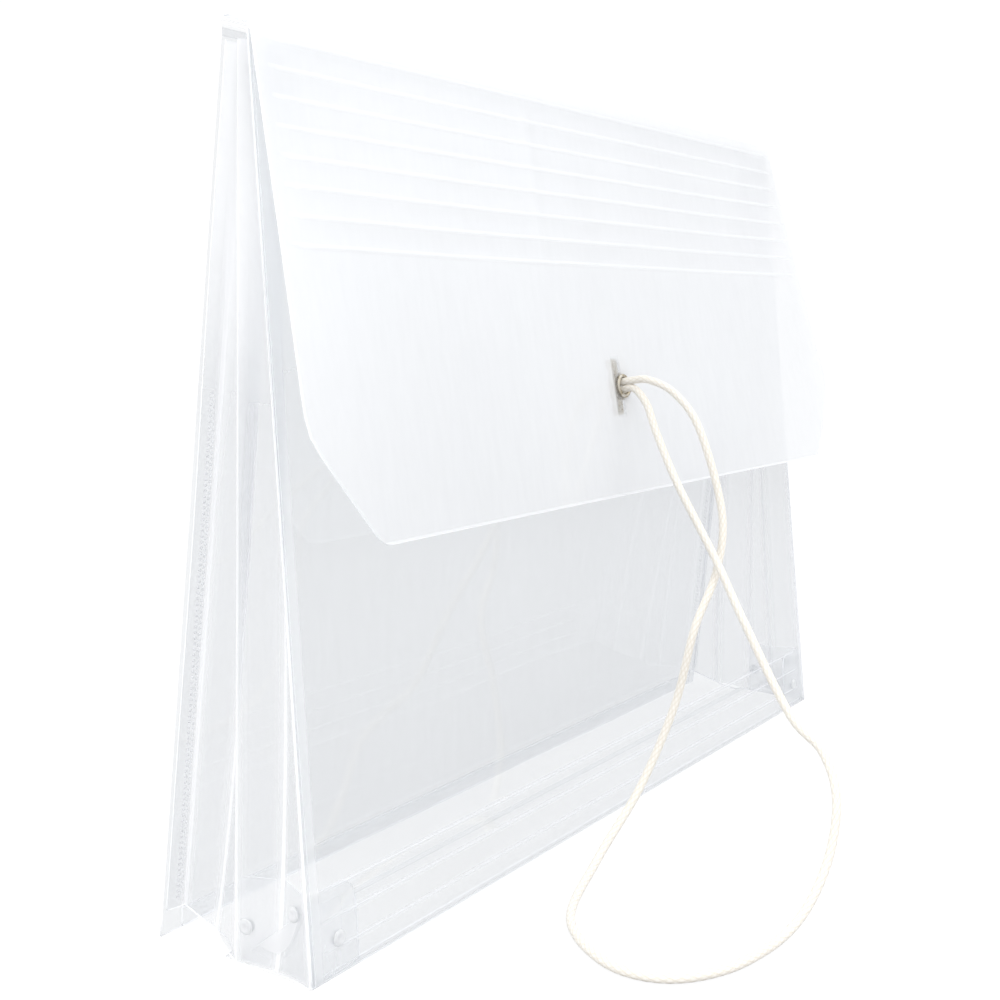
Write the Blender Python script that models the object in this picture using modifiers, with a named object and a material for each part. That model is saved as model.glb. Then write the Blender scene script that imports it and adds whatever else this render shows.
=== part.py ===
"""Clear expanding portfolio case, standing open at the base with its flap folded over the front.

Units are metres, +Z is up, +X runs along the width and the front faces -Y. The origin is on the
floor, on the underside of the bottom panel, midway between the two ends.

Two sheets of clear plastic make the case. The back sheet is the back panel, the narrow strip over
the mouth and the flap. The front sheet is the front panel, the bottom with its riser, and the
accordion sides, whose outer edges are welded to the back panel. Each fold between two panels is
drawn as a small gap, so that every panel is a solid of its own.
"""

import math

import bmesh
import bpy
from mathutils import Matrix, Vector

# Size of the case
WIDTH = 0.330
HEIGHT = 0.254
DEPTH = 0.057
TOP_DEPTH = 0.008
TOP_SHIFT = -0.003  # the mouth's middle, measured from the bottom's middle
SHEET = 0.0005
SIDE_SHEET = 0.0003  # the folded sides, drawn thinner so that their layers stay apart at the top
GAP = 0.0003

# Mouth, strip over the mouth and flap
FRONT_SHORT = 0.004  # the front panel stops this far below the top
HINGE_CLEAR = 0.0006  # the flap's hinge line stands this far behind the back panel
HINGE_DROP = 0.0008  # and this far above its top edge
STRIP_REACH = 0.0012  # the strip reaches this far past the front panel's plane
FLAP_LENGTH = 0.143
FLAP_LEAN = math.radians(10.0)
FLAP_START = 0.0009
CHAMFER_WIDTH = 0.025
CHAMFER_HEIGHT = 0.031
CORNER_RADIUS = 0.004

# Score lines pressed into the sheets
SCORE_PITCH = 0.008
SCORE_WIDTH = 0.0006
SCORE_DEPTH = 0.00015
SCORE_MARGIN = 0.008
FLAP_SCORES = 8
FLAP_FIRST_SCORE = 0.0055
FRONT_SCORES = 3

# Bottom and the flanges welded to the back panel
BOTTOM_BACK = 0.003  # the flat bottom ends here and the riser starts
RISER_TOP = 0.007
FLANGE = 0.007

# Accordion sides
FOLD_WIDTH = 0.0139
SIDE_TOP = 0.248
SIDE_EDGE = 0.0003
SIDE_LIFT = 1.05  # the side's bottom edge climbs this much faster than the riser below it
FOLD_CLEAR = 0.00028  # from a fold line to the middle of each of the two sheets that meet there
RIDGE_CLEAR = 0.0005  # the same at the middle fold, where the side opens with the mouth
SIDE_ROWS = 14
ROW_SPREAD = 2.0  # rows of points lie closer together near the floor, where the folds curve most
MIDDLE_FOLD = 2
FRAME_STEP = 0.0005  # up and across, to find which way a side panel faces
FRAME_SHARE = 0.05

# Corner tabs and the clear rivets through them
TAB_HEIGHT = 0.024
TAB_BOTTOM = 0.0012
FRONT_TAB_WIDTH = 0.018
FRONT_TAB_INSET = 0.002
SIDE_TAB_OFFSET = 0.0008
SIDE_TAB_ROWS = 5
SIDE_TAB_SHARES = (0.10, 0.85)  # it starts and ends this far across the side's two front panels
FRONT_RIVET_INSET = 0.012
FRONT_RIVET_HEIGHT = 0.010
SIDE_RIVETS = {"lower": (2, 0.25, 0.011), "upper": (3, 0.55, 0.018)}  # panel, share across, height
RIVET_HEAD = 0.0022
RIVET_SHANK = 0.0010
RIVET_HOLE = 0.0015
RIVET_HEAD_HEIGHT = 0.0005

# Eyelet, washer and the bar that holds the elastic cord
EYELET_DROP = 0.105
EYELET_BORE = 0.0030
EYELET_BARREL = 0.0033
EYELET_RIM = 0.0043
EYELET_HOLE = 0.0036
EYELET_PLAY = 0.0002  # between the eyelet's lips and what they hold
LIP_CORNER = 0.0004
WASHER_INNER = 0.0035
WASHER_OUTER = 0.0050
WASHER_THICKNESS = 0.0005
CRIMP_SIZE = (0.0045, 0.0028, 0.020)
CRIMP_BACK = 0.0022  # from the flap's outer face to the bar
CRIMP_PINCH = 0.0008
PINCH_RADIUS = 0.002
DRILL_LENGTH = 0.006
ROUND_STEPS = 32
RIVET_STEPS = 16

# Elastic cord: a loop from the eyelet, down in front of the case, round on the floor and back
CORD_DIAMETER = 0.0027
CORD_STRAND = 0.00142  # each strand runs this far from the eyelet's axis
CORD_POINTS = 79
CORD_FLOOR = 0.0016
CORD_MOUTH = -0.004  # how far out of the flap each strand leaves the eyelet
CURVE_STEPS = 20  # between two points of the route, before they are spaced evenly
CORD_ROUTE = [
    (-0.001, -0.0375, 0.1530),
    (-0.001, -0.0475, 0.1485),
    (-0.001, -0.057, 0.1365),
    (-0.002, -0.066, 0.1090),
    (-0.008, -0.067, 0.0900),
    (-0.022, -0.066, 0.0730),
    (-0.026, -0.061, 0.0480),
    (-0.037, -0.0545, 0.0230),
    (-0.060, -0.0520, 0.0060),
    (-0.092, -0.0620, 0.0016),
    (-0.109, -0.0830, 0.0016),
    (-0.108, -0.1010, 0.0016),
    (-0.092, -0.1130, 0.0016),
    (-0.064, -0.1180, 0.0030),
    (-0.047, -0.1210, 0.0150),
    (-0.036, -0.1200, 0.0310),
    (-0.027, -0.1120, 0.0420),
    (-0.024, -0.1000, 0.0510),
    (-0.019, -0.0820, 0.0770),
    (-0.013, -0.0690, 0.0950),
    (-0.009, -0.0530, 0.1180),
    (-0.005, -0.0425, 0.1350),
    (-0.002, -0.0370, 0.1445),
]

# Lengths and angles that follow from the sizes above
BACK_TOP_Y = TOP_SHIFT + TOP_DEPTH / 2
FRONT_TOP_Y = TOP_SHIFT - TOP_DEPTH / 2
BACK_LEAN = math.atan2(DEPTH / 2 - BACK_TOP_Y, HEIGHT)
FRONT_LEAN = math.atan2(DEPTH / 2 + FRONT_TOP_Y, HEIGHT)
HINGE_Y = BACK_TOP_Y + HINGE_CLEAR
HINGE_Z = HEIGHT - SHEET - GAP / 2
STRIP_FRONT = FRONT_TOP_Y - STRIP_REACH
BACK_LENGTH = (HINGE_Z - HINGE_DROP) / math.cos(BACK_LEAN)
FRONT_LENGTH = (HEIGHT - FRONT_SHORT) / math.cos(FRONT_LEAN)

CLEAR_BODY = ("clear_body", (0.86, 0.88, 0.90), 0.18, 0.0, 0.30)
CLEAR_FLAP = ("clear_flap", (0.92, 0.93, 0.94), 0.22, 0.0, 0.35)
CLEAR_FOLD = ("clear_fold", (0.93, 0.94, 0.95), 0.20, 0.0, 0.35)
CLEAR_RIVET = ("clear_rivet", (0.96, 0.96, 0.97), 0.15, 0.0, 0.60)
NICKEL = ("nickel", (0.62, 0.60, 0.56), 0.22, 1.0, 1.0)
ELASTIC = ("elastic", (0.93, 0.92, 0.88), 0.75, 0.0, 1.0)

AROUND_X = Matrix.Rotation(math.radians(-90), 4, "X")


def clear_scene():
    for obj in list(bpy.data.objects):
        bpy.data.objects.remove(obj, do_unlink=True)


def new_collection(name, hidden=False):
    made = bpy.data.collections.new(name)
    bpy.context.scene.collection.children.link(made)
    made.hide_render = hidden
    return made


def material(finish):
    name, colour, roughness, metallic, alpha = finish
    found = bpy.data.materials.get(name)
    if found:
        return found
    made = bpy.data.materials.new(name)
    made.use_nodes = True
    shader = made.node_tree.nodes["Principled BSDF"]
    shader.inputs["Base Color"].default_value = (*colour, 1.0)
    shader.inputs["Roughness"].default_value = roughness
    shader.inputs["Metallic"].default_value = metallic
    shader.inputs["Alpha"].default_value = alpha
    return made


def link(name, data, finish, parent=None, matrix=None):
    """Puts a new object in the case's collection, placed in its parent's space."""
    obj = bpy.data.objects.new(name, data)
    case.objects.link(obj)
    if finish:
        data.materials.append(material(finish))
    if parent:
        obj.parent = parent
    if matrix:
        obj.matrix_local = matrix
    return obj


def pivot(name, matrix, parent=None):
    """An empty on a fold or joint line, for pieces to hang from."""
    obj = link(name, None, None, parent, matrix)
    obj.empty_display_size = 0.02
    return obj


def box_into(bm, low, high):
    """Adds a box between two corners."""
    low, high = Vector(low), Vector(high)
    middle = Matrix.Translation((low + high) / 2)
    bmesh.ops.create_cube(bm, size=1.0, matrix=middle @ Matrix.Diagonal((*(high - low), 1.0)))


def mesh_from(name, bm):
    mesh = bpy.data.meshes.new(name)
    bm.to_mesh(mesh)
    bm.free()
    return mesh


def plate(name, low, high, finish, parent=None, matrix=None):
    bm = bmesh.new()
    box_into(bm, low, high)
    return link(name, mesh_from(name, bm), finish, parent, matrix)


def cutter(name, bm, parent=None, matrix=None):
    obj = bpy.data.objects.new(name, mesh_from(name, bm))
    cutters.objects.link(obj)
    obj.hide_render = True
    obj.display_type = "WIRE"
    obj.parent = parent
    obj.matrix_local = matrix or Matrix()
    return obj


def cut(obj, tool):
    modifier = obj.modifiers.new(tool.name, "BOOLEAN")
    modifier.operation = "DIFFERENCE"
    modifier.solver = "EXACT"
    modifier.object = tool


def drill(obj, name, radius, matrix, parent=None):
    """Cuts a round hole along the matrix's Z axis."""
    bm = bmesh.new()
    bmesh.ops.create_cone(
        bm, cap_ends=True, segments=ROUND_STEPS, radius1=radius, radius2=radius, depth=DRILL_LENGTH
    )
    cut(obj, cutter(name, bm, parent, matrix))


def score(obj, name, heights, half_width, face_y, parent):
    """Presses straight score lines into the face at face_y of an upright panel."""
    bm = bmesh.new()
    for z in heights:
        low = (-half_width, face_y - 0.001, z - SCORE_WIDTH / 2)
        high = (half_width, face_y + SCORE_DEPTH, z + SCORE_WIDTH / 2)
        box_into(bm, low, high)
    cut(obj, cutter(name, bm, parent))


def turned(name, profile, steps, finish, parent=None, matrix=None):
    """Turns a closed or axis-to-axis profile of (radius, height) points round the Z axis."""
    bm = bmesh.new()
    points = [bm.verts.new((radius, 0.0, height)) for radius, height in profile]
    on_axis = profile[0][0] == 0.0
    ends = points[1:] if on_axis else points[1:] + points[:1]
    for start, end in zip(points, ends):
        bm.edges.new((start, end))
    obj = link(name, mesh_from(name, bm), finish, parent, matrix)
    screw = obj.modifiers.new("Turn", "SCREW")
    screw.axis = "Z"
    screw.steps = steps
    screw.render_steps = steps
    screw.use_merge_vertices = True
    screw.merge_threshold = 0.00001
    screw.use_smooth_shade = True
    return obj


def back_y(z):
    """The back panel's outer face at a height."""
    return DEPTH / 2 + (BACK_TOP_Y - DEPTH / 2) * z / HEIGHT


def front_y(z):
    """The front panel's outer face at a height."""
    return -DEPTH / 2 + (FRONT_TOP_Y + DEPTH / 2) * z / HEIGHT


def fold_point(side, fold, z):
    """The side's fold line number 0 (rear) to 4 (front) at a height: rear edge, valley, ridge,
    valley, front edge. The folds close up towards the mouth, so the valleys run deeper there."""
    rear = back_y(z) - 2 * (SHEET + GAP)
    front = front_y(z) + SHEET + GAP
    slot = (rear - front) / 4
    valley = math.sqrt(FOLD_WIDTH**2 - slot**2)
    inset = (FLANGE, FLANGE / 2 + valley, SIDE_EDGE, valley, SIDE_EDGE)[fold]
    return Vector((side * (WIDTH / 2 - inset), rear - fold * slot, z))


def side_point(side, panel, share, z):
    """A point on side panel 0 to 3, share of the way from its rear fold to its front fold."""
    rear = fold_point(side, panel, z)
    front = fold_point(side, panel + 1, z)
    rear.y -= RIDGE_CLEAR if panel == MIDDLE_FOLD else FOLD_CLEAR
    front.y += RIDGE_CLEAR if panel + 1 == MIDDLE_FOLD else FOLD_CLEAR
    return rear.lerp(front, share)


def side_bottom(y):
    """The lowest a side panel reaches: just over the bottom, and over the riser behind it."""
    rise = max(0.0, y - BOTTOM_BACK) / (DEPTH / 2 - BOTTOM_BACK)
    return SHEET + 2 * GAP + RISER_TOP * rise * SIDE_LIFT


def side_frame(side, panel, share, z):
    """A frame on a side panel with its Z axis pointing into the case."""
    middle = side_point(side, panel, share, z)
    up = side_point(side, panel, share, z + FRAME_STEP) - middle
    along = side_point(side, panel, share + FRAME_SHARE, z) - middle
    inward = up.cross(along).normalized()
    if inward.x * side > 0:
        inward.negate()
    turn = Vector((0.0, 0.0, 1.0)).rotation_difference(inward)
    return Matrix.LocRotScale(middle, turn, None)


def sheet_from_rows(name, rows, thickness, finish, parent=None):
    """A thin sheet through rows of points, of equal number in each row."""
    bm = bmesh.new()
    grid = [[bm.verts.new(point) for point in row] for row in rows]
    for low, high in zip(grid, grid[1:]):
        for left in range(len(low) - 1):
            bm.faces.new((low[left], low[left + 1], high[left + 1], high[left]))
    obj = link(name, mesh_from(name, bm), finish)
    solidify = obj.modifiers.new("Sheet", "SOLIDIFY")
    solidify.thickness = thickness
    solidify.offset = 0.0
    if parent:
        obj.parent = parent
        obj.matrix_parent_inverse = parent.matrix_world.inverted()
    return obj


def side_name(side):
    return "left" if side < 0 else "right"


def make_back(root):
    """Back panel, standing on its bottom edge and leaning forward to the hinge line."""
    start = SHEET * math.tan(BACK_LEAN)
    low = (-WIDTH / 2, -SHEET, start)
    high = (WIDTH / 2, 0.0, BACK_LENGTH)
    place = Matrix.Translation((0, DEPTH / 2, 0)) @ Matrix.Rotation(BACK_LEAN, 4, "X")
    plate("back_panel", low, high, CLEAR_BODY, root, place)
    inner = -SHEET - GAP
    for side in (-1, 1):
        edges = sorted((side * WIDTH / 2, side * (WIDTH / 2 - FLANGE)))
        low = (edges[0], inner - SHEET, RISER_TOP + 0.002)
        high = (edges[1], inner, BACK_LENGTH - 0.003)
        plate(f"{side_name(side)}_weld_flange", low, high, CLEAR_FOLD, root, place)
    low = (-WIDTH / 2 + FLANGE, inner - SHEET, start + GAP)
    high = (WIDTH / 2 - FLANGE, inner, RISER_TOP)
    plate("bottom_weld_flange", low, high, CLEAR_FOLD, root, place)


def make_bottom(root):
    """Flat bottom, and the riser that climbs from it to the back panel."""
    low = (-WIDTH / 2, -DEPTH / 2 + SHEET + 2 * GAP, 0.0)
    high = (WIDTH / 2, BOTTOM_BACK, SHEET)
    plate("bottom_panel", low, high, CLEAR_BODY, root)
    start = Vector((0.0, BOTTOM_BACK + 2 * GAP, 0.0))
    end = Vector((0.0, back_y(RISER_TOP) - 2 * SHEET - 3 * GAP, RISER_TOP))
    slope = math.atan2(end.z - start.z, end.y - start.y)
    place = Matrix.Translation(start) @ Matrix.Rotation(slope, 4, "X")
    low = (-WIDTH / 2 + FLANGE, 0.0, 0.0)
    high = (WIDTH / 2 - FLANGE, (end - start).length, SHEET)
    plate("bottom_riser", low, high, CLEAR_BODY, root, place)


def make_side(side, root, front_pivot):
    """The four panels of one accordion side: two stay with the back, two go with the front."""
    for panel in range(4):
        rows = []
        for row in range(SIDE_ROWS + 1):
            ends = []
            for share in (0.0, 1.0):
                low = side_bottom(side_point(side, panel, share, 0.0).y)
                z = low + (SIDE_TOP - low) * (row / SIDE_ROWS) ** ROW_SPREAD
                ends.append(side_point(side, panel, share, z))
            rows.append(ends)
        name = f"{side_name(side)}_side_panel_{panel + 1}"
        parent = front_pivot if panel >= MIDDLE_FOLD else root
        sheet_from_rows(name, rows, SIDE_SHEET, CLEAR_FOLD, parent)


def make_front(front_pivot):
    """Front panel, leaning back from its bottom edge, which is its fold line."""
    lean = pivot("front_lean", Matrix.Rotation(-FRONT_LEAN, 4, "X"), front_pivot)
    low = (-WIDTH / 2, 0.0, 0.0)
    high = (WIDTH / 2, SHEET, FRONT_LENGTH)
    front = plate("front_panel", low, high, CLEAR_BODY, lean)
    heights = [SCORE_PITCH * (line + 1) for line in range(FRONT_SCORES)]
    score(front, "front_score_tool", heights, WIDTH / 2 - SCORE_MARGIN, 0.0, lean)
    return front, lean


def make_front_corner(side, front, lean):
    """The tab inside the front panel's corner, and the clear rivet through both."""
    near = side * (WIDTH / 2 - FRONT_TAB_INSET)
    far = side * (WIDTH / 2 - FRONT_TAB_INSET - FRONT_TAB_WIDTH)
    low = (min(near, far), SHEET + GAP, TAB_BOTTOM)
    high = (max(near, far), 2 * SHEET + GAP, TAB_HEIGHT)
    name = side_name(side)
    tab = plate(f"{name}_front_tab", low, high, CLEAR_FOLD, lean)
    round_tab(tab, far)
    middle = Vector((side * (WIDTH / 2 - FRONT_RIVET_INSET), SHEET / 2, FRONT_RIVET_HEIGHT))
    frame = Matrix.Translation(middle) @ AROUND_X
    drill(front, f"{name}_front_hole_tool", RIVET_HOLE, frame, lean)
    drill(tab, f"{name}_front_tab_hole_tool", RIVET_HOLE, frame, lean)
    grip = (-SHEET / 2, 1.5 * SHEET + GAP)
    make_rivet(f"{name}_front_rivet", grip, lean, frame)


def round_tab(tab, inner_x):
    """Rounds a corner tab's free upper corner."""
    bm = bmesh.new()
    bm.from_mesh(tab.data)
    corner = [
        edge
        for edge in bm.edges
        if all(abs(v.co.x - inner_x) < 1e-6 and abs(v.co.z - TAB_HEIGHT) < 1e-6 for v in edge.verts)
    ]
    bmesh.ops.bevel(bm, geom=corner, offset=0.006, segments=6, profile=0.5, affect="EDGES")
    bm.to_mesh(tab.data)
    bm.free()


def make_rivet(name, grip, parent, frame):
    """A clear snap rivet: a shank with a flat head outside and inside the sheets it holds."""
    outer, inner = grip[0] - GAP, grip[1] + GAP
    profile = [
        (0.0, inner + RIVET_HEAD_HEIGHT),
        (RIVET_HEAD * 0.8, inner + RIVET_HEAD_HEIGHT),
        (RIVET_HEAD, inner),
        (RIVET_SHANK, inner),
        (RIVET_SHANK, outer),
        (RIVET_HEAD, outer),
        (RIVET_HEAD * 0.8, outer - RIVET_HEAD_HEIGHT),
        (0.0, outer - RIVET_HEAD_HEIGHT),
    ]
    return turned(name, profile, RIVET_STEPS, CLEAR_RIVET, parent, frame)


def make_side_corner(side, front_pivot):
    """The folded tab inside the front half of the side, and its two clear rivets."""
    name = side_name(side)
    rows = []
    for row in range(SIDE_TAB_ROWS + 1):
        z = TAB_BOTTOM + (TAB_HEIGHT - TAB_BOTTOM) * row / SIDE_TAB_ROWS
        start, end = SIDE_TAB_SHARES
        points = [side_point(side, 2, start, z), side_point(side, 2, 1.0, z), side_point(side, 3, end, z)]
        offset = Vector((-side * SIDE_TAB_OFFSET, 0.0, 0.0))
        rows.append([point + offset for point in points])
    tab = sheet_from_rows(f"{name}_side_tab", rows, SIDE_SHEET, CLEAR_FOLD, front_pivot)
    for label, (panel, share, z) in SIDE_RIVETS.items():
        frame = Matrix.Translation(-front_pivot.location) @ side_frame(side, panel, share, z)
        rivet = f"{name}_side_rivet_{label}"
        wall = bpy.data.objects[f"{name}_side_panel_{panel + 1}"]
        drill(wall, f"{rivet}_wall_tool", RIVET_HOLE, frame, front_pivot)
        drill(tab, f"{rivet}_tab_tool", RIVET_HOLE, frame, front_pivot)
        grip = (-SIDE_SHEET / 2 - GAP / 2, SIDE_TAB_OFFSET + SIDE_SHEET / 2 + GAP / 2)
        make_rivet(rivet, grip, front_pivot, frame)


def flap_outline():
    """Half of the flap's outline below its top edge, from the side to the middle."""
    half = WIDTH / 2
    side_end = Vector((half, -FLAP_LENGTH + CHAMFER_HEIGHT))
    tip = Vector((half - CHAMFER_WIDTH, -FLAP_LENGTH))
    points = [Vector((half, -FLAP_START))]
    points += rounded(points[0], side_end, tip)
    points += rounded(side_end, tip, Vector((0.0, -FLAP_LENGTH)))
    return points


def rounded(before, corner, after, steps=6):
    """An arc-like curve that rounds a corner between two straight edges."""
    start = corner + (before - corner).normalized() * CORNER_RADIUS
    end = corner + (after - corner).normalized() * CORNER_RADIUS
    curve = []
    for step in range(steps + 1):
        t = step / steps
        curve.append(start * (1 - t) ** 2 + corner * 2 * t * (1 - t) + end * t**2)
    return curve


def flat_outline(name, outline, thickness, finish, parent, matrix):
    """A flat plate from a 2D curve filled on both sides, turned into a mesh."""
    curve = bpy.data.curves.new(name, "CURVE")
    curve.dimensions = "2D"
    curve.fill_mode = "BOTH"
    curve.extrude = thickness / 2
    spline = curve.splines.new("POLY")
    spline.points.add(len(outline) - 1)
    for point, (x, y) in zip(spline.points, outline):
        point.co = (x, y, 0.0, 1.0)
    spline.use_cyclic_u = True
    drawn = bpy.data.objects.new(name + "_outline", curve)
    case.objects.link(drawn)
    graph = bpy.context.evaluated_depsgraph_get()
    mesh = bpy.data.meshes.new_from_object(drawn.evaluated_get(graph))
    bpy.data.objects.remove(drawn, do_unlink=True)
    bm = bmesh.new()
    bm.from_mesh(mesh)
    bmesh.ops.remove_doubles(bm, verts=bm.verts, dist=1e-6)
    bmesh.ops.recalc_face_normals(bm, faces=bm.faces)
    bm.to_mesh(mesh)
    bm.free()
    mesh.name = name
    mesh.materials.clear()
    return link(name, mesh, finish, parent, matrix)


def make_flap(flap_pivot):
    """The strip over the mouth, and the flap that hangs in front of the case."""
    low = (-WIDTH / 2, STRIP_FRONT - HINGE_Y, GAP / 2)
    high = (WIDTH / 2, 0.0, GAP / 2 + SHEET)
    plate("top_strip", low, high, CLEAR_FLAP, flap_pivot)
    corner = Vector((0.0, STRIP_FRONT - HINGE_Y, HEIGHT - HINGE_Z))
    place = Matrix.Translation(corner) @ Matrix.Rotation(-FLAP_LEAN, 4, "X")
    lean = pivot("flap_lean", place, flap_pivot)
    half = flap_outline()
    outline = half + [Vector((-x, y)) for x, y in reversed(half)]
    upright = Matrix.Translation((0, SHEET / 2, 0)) @ Matrix.Rotation(math.radians(90), 4, "X")
    flap = flat_outline("flap_panel", outline, SHEET, CLEAR_FLAP, lean, upright)
    heights = [-FLAP_FIRST_SCORE - SCORE_PITCH * line for line in range(FLAP_SCORES)]
    score(flap, "flap_score_tool", heights, WIDTH / 2 - SCORE_MARGIN, 0.0, lean)
    return flap, lean


def make_eyelet(flap, lean):
    """Rolled metal eyelet and washer in the flap, and the crimped bar behind them."""
    frame = Matrix.Translation((0, 0, -EYELET_DROP)) @ AROUND_X
    drill(flap, "eyelet_hole_tool", EYELET_HOLE, frame, lean)
    washer_front = SHEET + EYELET_PLAY
    washer_back = washer_front + WASHER_THICKNESS
    curl = washer_back + EYELET_PLAY
    lip = -EYELET_PLAY
    profile = [
        (EYELET_BORE, curl + LIP_CORNER),
        (EYELET_BARREL, curl + 1.5 * LIP_CORNER),
        (EYELET_RIM - 1.5 * LIP_CORNER, curl + 1.5 * LIP_CORNER),
        (EYELET_RIM - LIP_CORNER, curl + 0.5 * LIP_CORNER),
        (EYELET_BARREL, curl),
        (EYELET_BARREL, lip),
        (EYELET_RIM, lip),
        (EYELET_RIM, lip - LIP_CORNER),
        (EYELET_RIM - LIP_CORNER, lip - 2 * LIP_CORNER),
        (EYELET_BARREL, lip - 2 * LIP_CORNER),
        (EYELET_BORE, lip - LIP_CORNER),
    ]
    turned("eyelet", profile, ROUND_STEPS, NICKEL, lean, frame)
    ring = [
        (WASHER_INNER, washer_back),
        (WASHER_OUTER, washer_back),
        (WASHER_OUTER, washer_front),
        (WASHER_INNER, washer_front),
    ]
    turned("eyelet_washer", ring, ROUND_STEPS, NICKEL, lean, frame)
    make_crimp(lean)


def make_crimp(lean):
    """A short metal bar, pinched above and below the cord's two ends."""
    width, depth, length = CRIMP_SIZE
    low = (-width / 2, CRIMP_BACK, -EYELET_DROP - length / 2)
    high = (width / 2, CRIMP_BACK + depth, -EYELET_DROP + length / 2)
    bar = plate("crimp_bar", low, high, NICKEL, lean)
    for name, side in (("upper", 1), ("lower", -1)):
        bm = bmesh.new()
        bmesh.ops.create_cone(
            bm,
            cap_ends=True,
            segments=ROUND_STEPS,
            radius1=PINCH_RADIUS,
            radius2=PINCH_RADIUS,
            depth=2 * PINCH_RADIUS + width,
        )
        reach = CRIMP_BACK + depth + PINCH_RADIUS - CRIMP_PINCH
        spot = Vector((0.0, reach, -EYELET_DROP + side * length / 4))
        place = Matrix.Translation(spot) @ Matrix.Rotation(math.radians(90), 4, "Y")
        cut(bar, cutter(f"crimp_{name}_pinch_tool", bm, lean, place))
    bevel = bar.modifiers.new("Edges", "BEVEL")
    bevel.width = 0.0004
    bevel.segments = 2
    bevel.limit_method = "ANGLE"


def smooth_route(points, count):
    """Evenly spaced points on the smooth curve through a list of points."""
    ends = [points[0] * 2 - points[1], *points, points[-1] * 2 - points[-2]]
    fine = []
    for a, b, c, d in zip(ends, ends[1:], ends[2:], ends[3:]):
        for step in range(CURVE_STEPS):
            t = step / CURVE_STEPS
            curve = b * 2 + (c - a) * t + (a * 2 - b * 5 + c * 4 - d) * t**2
            curve += (b * 3 - a - c * 3 + d) * t**3
            fine.append(curve / 2)
    fine.append(points[-1])
    for point in fine:
        point.z = max(point.z, CORD_FLOOR)
    run = [0.0]
    for before, after in zip(fine, fine[1:]):
        run.append(run[-1] + (after - before).length)
    even, at = [], 0
    for index in range(count):
        wanted = run[-1] * index / (count - 1)
        while at < len(run) - 2 and run[at + 1] < wanted:
            at += 1
        share = (wanted - run[at]) / (run[at + 1] - run[at])
        even.append(fine[at].lerp(fine[at + 1], share))
    return even


def make_cord(flap_pivot, lean):
    """Elastic cord: both ends go through the eyelet to the bar, and the loop hangs to the floor."""
    bpy.context.view_layer.update()
    to_world = lean.matrix_world
    inside, outside = CRIMP_BACK - GAP, CORD_MOUTH
    upper = -EYELET_DROP + CORD_STRAND
    lower = -EYELET_DROP - CORD_STRAND
    route = [to_world @ Vector((0.0, y, upper)) for y in (inside, outside)]
    route += [Vector(point) for point in CORD_ROUTE]
    route += [to_world @ Vector((0.0, y, lower)) for y in (outside, inside)]
    curve = bpy.data.curves.new("elastic_cord", "CURVE")
    curve.dimensions = "3D"
    curve.bevel_depth = CORD_DIAMETER / 2
    curve.bevel_resolution = 2
    curve.use_fill_caps = True
    spline = curve.splines.new("POLY")
    spline.points.add(CORD_POINTS - 1)
    for point, place in zip(spline.points, smooth_route(route, CORD_POINTS)):
        point.co = (*(place - flap_pivot.location), 1.0)
    link("elastic_cord", curve, ELASTIC, flap_pivot)


def build():
    root = pivot("case_root", Matrix())
    front_pivot = pivot("front_fold_line", Matrix.Translation((0, -DEPTH / 2, 0)))
    flap_pivot = pivot("flap_hinge_line", Matrix.Translation((0, HINGE_Y, HINGE_Z)))
    bpy.context.view_layer.update()
    make_back(root)
    make_bottom(root)
    front, front_lean = make_front(front_pivot)
    for side in (-1, 1):
        make_side(side, root, front_pivot)
        make_front_corner(side, front, front_lean)
        make_side_corner(side, front_pivot)
    flap, flap_lean = make_flap(flap_pivot)
    make_eyelet(flap, flap_lean)
    make_cord(flap_pivot, flap_lean)


clear_scene()
case = new_collection("portfolio_case")
cutters = new_collection("cutters", hidden=True)
build()
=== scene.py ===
"""Looks of the clear expanding portfolio case: folded plastic sheets, rivets, eyelet and elastic loop.

Lengths are metres in the CAD frame: origin on the floor under the bottom, +X along the width, front -Y.
"""

import math

import bmesh
import bpy
from mathutils import Matrix, Vector, noise


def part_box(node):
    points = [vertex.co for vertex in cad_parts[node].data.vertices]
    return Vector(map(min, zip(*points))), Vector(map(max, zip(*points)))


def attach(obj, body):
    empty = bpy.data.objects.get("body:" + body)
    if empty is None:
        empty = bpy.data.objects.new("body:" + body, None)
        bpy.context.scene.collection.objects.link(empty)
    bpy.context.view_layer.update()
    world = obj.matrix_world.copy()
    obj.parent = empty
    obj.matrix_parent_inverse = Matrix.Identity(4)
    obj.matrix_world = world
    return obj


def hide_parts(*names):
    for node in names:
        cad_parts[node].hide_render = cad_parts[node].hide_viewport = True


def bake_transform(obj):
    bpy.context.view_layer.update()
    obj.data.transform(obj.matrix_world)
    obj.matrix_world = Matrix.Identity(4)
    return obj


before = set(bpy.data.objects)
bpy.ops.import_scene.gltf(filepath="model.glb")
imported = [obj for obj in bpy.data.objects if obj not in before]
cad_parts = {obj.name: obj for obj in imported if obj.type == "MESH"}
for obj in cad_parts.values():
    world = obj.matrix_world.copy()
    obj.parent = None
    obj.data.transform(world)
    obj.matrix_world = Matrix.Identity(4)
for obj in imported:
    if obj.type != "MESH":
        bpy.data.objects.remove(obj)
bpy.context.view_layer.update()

# Sizes shared with the CAD model
WIDTH = 0.330
HALF = WIDTH / 2
HEIGHT = 0.254
DEPTH = 0.057
BACK_TOP_Y = 0.001
FRONT_TOP_Y = -0.007
STRIP_FRONT = -0.0082
SHEET = 0.0005
SIDE_SHEET = 0.0003
GAP = 0.0003
BOTTOM_BACK = 0.003
RISER_TOP = 0.007
FLANGE = 0.007
FOLD_WIDTH = 0.0139
SIDE_TOP = 0.248
SIDE_EDGE = 0.0003
FRONT_TOP = 0.250
BACK_SHEET_TOP = 0.2512
FLAP_LENGTH = 0.143
FLAP_LEAN = math.radians(10.0)
CHAMFER_WIDTH = 0.025
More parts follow.
